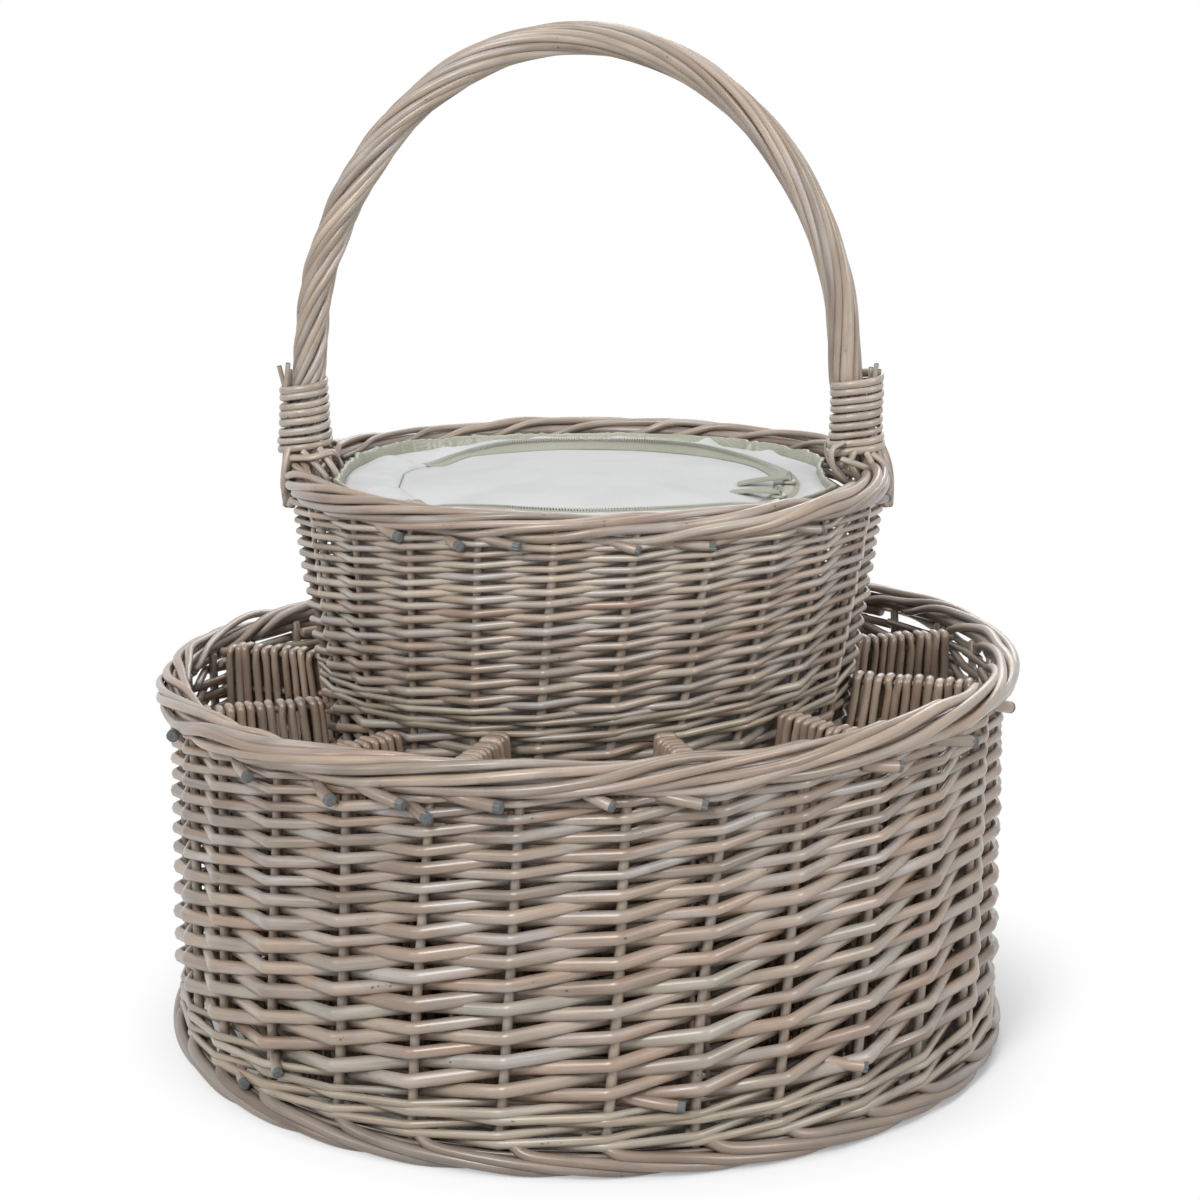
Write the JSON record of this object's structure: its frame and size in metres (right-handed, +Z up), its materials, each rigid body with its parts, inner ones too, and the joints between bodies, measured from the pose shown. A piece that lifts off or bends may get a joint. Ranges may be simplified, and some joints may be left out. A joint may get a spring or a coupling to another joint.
{
  "type": "wicker drinks basket",
  "caption": "Round willow basket with a ring of bottle places round a zipped soft cooler in a raised inner basket, and a tall twisted bow handle.",
  "frame": {"origin": "middle of the foot, on the surface that the basket stands on", "axes": "+Z up; X runs from one foot of the handle to the other, so the bow stands in the XZ plane; the front is -Y"},
  "size_m": [0.5766, 0.58, 0.6765],
  "materials": {
    "willow": "washed willow, matt",
    "fine_willow": "thin olive willow, matt",
    "rim_willow": "washed willow, matt",
    "dark_willow": "darker brown willow, satin",
    "stick_wood": "peeled stick, matt",
    "handle_willow": "twisted willow, satin",
    "lashing_willow": "pale split willow, satin",
    "grey_cloth": "pale grey woven polyester",
    "lid_cloth": "pale grey woven polyester",
    "foam": "closed-cell foam",
    "liner_foil": "wipe-clean silver liner",
    "sage_binding": "gathered satin binding",
    "sage_webbing": "sage zip tape and webbing",
    "slider_metal": "painted zip slider"
  },
  "bodies": {
    "basket": {"foot_border": "rim_willow", "base_sticks": "stick_wood", "base_weave": "willow", "base_wale": "fine_willow", "outer_weave": "willow", "lower_rim": "rim_willow", "inner_weave_lower": "willow", "inner_fine_band": "fine_willow", "inner_weave_upper": "willow", "upper_rim": "rim_willow", "divider_01": "dark_willow", "divider_02": "dark_willow", "divider_03": "dark_willow", "divider_04": "dark_willow", "divider_05": "dark_willow", "divider_06": "dark_willow", "divider_07": "dark_willow", "divider_08": "dark_willow", "divider_09": "dark_willow", "divider_10": "dark_willow", "divider_11": "dark_willow", "divider_12": "dark_willow", "handle_bow": "stick_wood", "handle_rods": "handle_willow", "handle_lashing_left": "lashing_willow", "handle_lashing_right": "lashing_willow"},
    "cooler": {"cooler_shell": "grey_cloth", "cooler_foam": "foam", "cooler_liner": "liner_foil", "cooler_top_panel": "grey_cloth", "cooler_binding": "sage_binding", "zip_tape_outer": "sage_webbing"},
    "lid": {"cooler_lid": "lid_cloth", "lid_foam": "foam", "lid_lining": "liner_foil", "zip_tape_lid": "sage_webbing"},
    "slider_back": {"zip_slider_back": "slider_metal"},
    "slider_front": {"zip_slider_front": "slider_metal"},
    "tag_back": {"pull_tag_back": "sage_webbing"},
    "tag_front": {"pull_tag_front": "sage_webbing"}
  },
  "joints": [
    {"name": "cooler_lift", "type": "slide", "parent": "basket", "child": "cooler", "axis": [0, 0, 1], "range_m": [0, 0.03]},
    {"name": "lid_open", "type": "hinge", "parent": "cooler", "child": "lid", "pos_m": [-0.1245, 0, 0.376], "axis": [0, -1, 0], "range_deg": [0, 65]},
    {"name": "slider_back_travel", "type": "hinge", "parent": "lid", "child": "slider_back", "pos_m": [0, 0, 0.377], "axis": [0, 0, 1], "range_deg": [0, 150]},
    {"name": "slider_front_travel", "type": "hinge", "parent": "lid", "child": "slider_front", "pos_m": [0, 0, 0.377], "axis": [0, 0, 1], "range_deg": [-126, 0]},
    {"name": "tag_back_flip", "type": "hinge", "parent": "slider_back", "child": "tag_back", "pos_m": [0.13284, -0.02104, 0.3811], "axis": [0.1564, 0.9877, 0], "range_deg": [0, 120]},
    {"name": "tag_front_flip", "type": "hinge", "parent": "slider_front", "child": "tag_front", "pos_m": [0.12792, -0.04156, 0.3811], "axis": [0.309, 0.9511, 0], "range_deg": [0, 120]}
  ]
}
